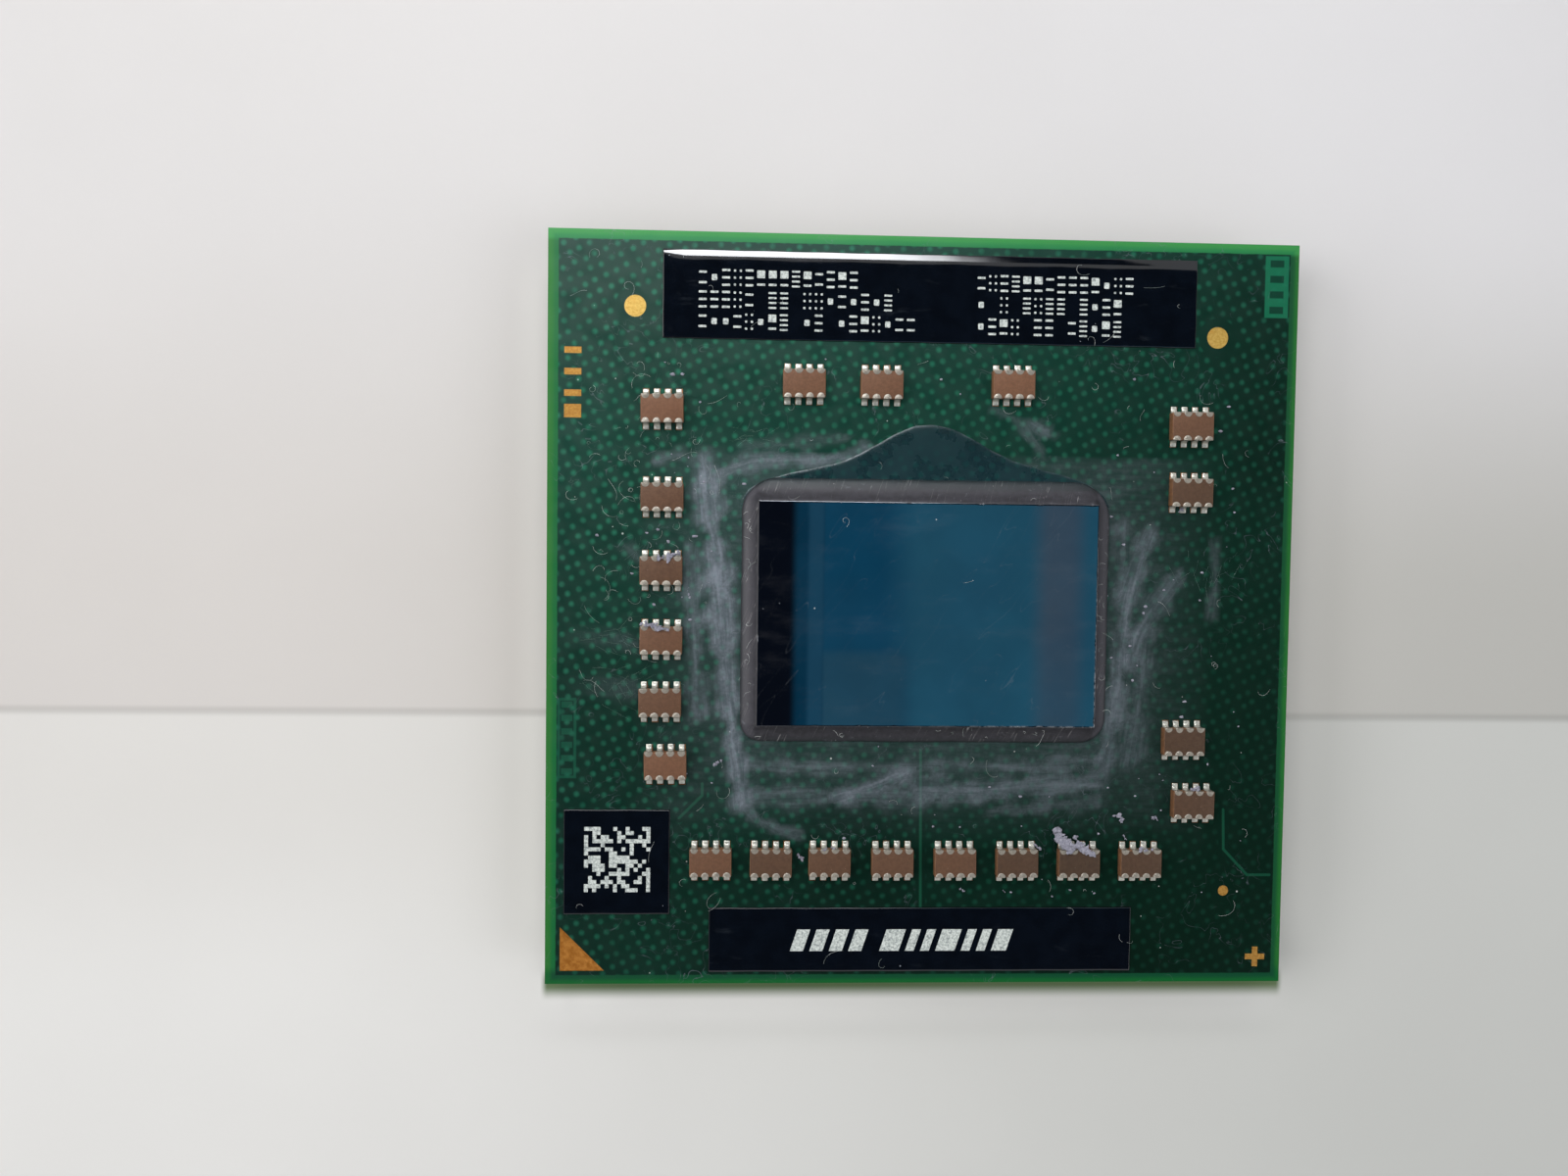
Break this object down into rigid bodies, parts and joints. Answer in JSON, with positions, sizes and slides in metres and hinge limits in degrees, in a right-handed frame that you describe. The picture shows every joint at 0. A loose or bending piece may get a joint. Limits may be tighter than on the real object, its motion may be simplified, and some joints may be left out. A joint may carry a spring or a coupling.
{
  "type": "cpu processor",
  "caption": "Lidless flip-chip processor: bare silicon die, underfill and small ceramic capacitors on a square green laminate package with a full grid of pins below.",
  "frame": {"origin": "centre of the package in the plane of the pin tips, so the part stands on z = 0", "axes": "+Z from the pins up through the bare die, +X along the die's long side, +Y away from the corner with the gold triangle, which is at the low X and low Y corner"},
  "size_m": [0.035, 0.035, 0.004],
  "materials": {
    "core_laminate": "cut glass-epoxy laminate",
    "buildup_resin": "smooth cured resin",
    "bare_copper": "rolled and plated copper",
    "solder_mask": "semi-gloss dark green lacquer",
    "polished_silicon": "mirror-polished back of a silicon die",
    "die_metal_stack": "thin iridescent layer stack",
    "solder": "reflowed solder, soft metallic",
    "underfill_epoxy": "filled grey epoxy",
    "capacitor_ceramic": "fired brown ceramic",
    "tinned_terminal": "plated tin",
    "marking_ink": "glossy printed ink",
    "gold_pad": "immersion gold over copper",
    "gold_pin": "bright gold plating"
  },
  "bodies": {
    "root": {"substrate_core": "core_laminate", "core_vias": "bare_copper", "lower_copper_plane": "bare_copper", "upper_copper_plane": "bare_copper", "bottom_buildup_layer": "buildup_resin", "top_buildup_layer": "buildup_resin", "perforated_top_plane": "bare_copper", "routed_traces": "bare_copper", "bottom_solder_mask": "solder_mask", "top_solder_mask": "solder_mask", "silicon_die": "polished_silicon", "die_circuit_layers": "die_metal_stack", "flip_chip_bumps": "solder", "underfill": "underfill_epoxy", "left_capacitor_bodies": "capacitor_ceramic", "left_capacitor_terminals": "tinned_terminal", "left_capacitor_solder": "solder", "left_capacitor_lands": "bare_copper", "back_capacitor_bodies": "capacitor_ceramic", "back_capacitor_terminals": "tinned_terminal", "back_capacitor_solder": "solder", "back_capacitor_lands": "bare_copper", "right_capacitor_bodies": "capacitor_ceramic", "right_capacitor_terminals": "tinned_terminal", "right_capacitor_solder": "solder", "right_capacitor_lands": "bare_copper", "front_capacitor_bodies": "capacitor_ceramic", "front_capacitor_terminals": "tinned_terminal", "front_capacitor_solder": "solder", "front_capacitor_lands": "bare_copper", "upper_marking_pad": "marking_ink", "lower_marking_pad": "marking_ink", "code_marking_pad": "marking_ink", "left_fiducial_pad": "gold_pad", "right_fiducial_pad": "gold_pad", "gold_test_dot": "gold_pad", "pin_one_triangle": "gold_pad", "edge_index_bars": "gold_pad", "corner_index_cross": "gold_pad", "corner_pins": "gold_pin", "back_pins": "gold_pin", "middle_left_pins": "gold_pin", "middle_right_pins": "gold_pin", "front_pins": "gold_pin", "corner_pin_solder": "solder", "back_pin_solder": "solder", "middle_left_pin_solder": "solder", "middle_right_pin_solder": "solder", "front_pin_solder": "solder", "corner_pin_lands": "gold_pad", "back_pin_lands": "gold_pad", "middle_left_pin_lands": "gold_pad", "middle_right_pin_lands": "gold_pad", "front_pin_lands": "gold_pad"}
  },
  "joints": []
}
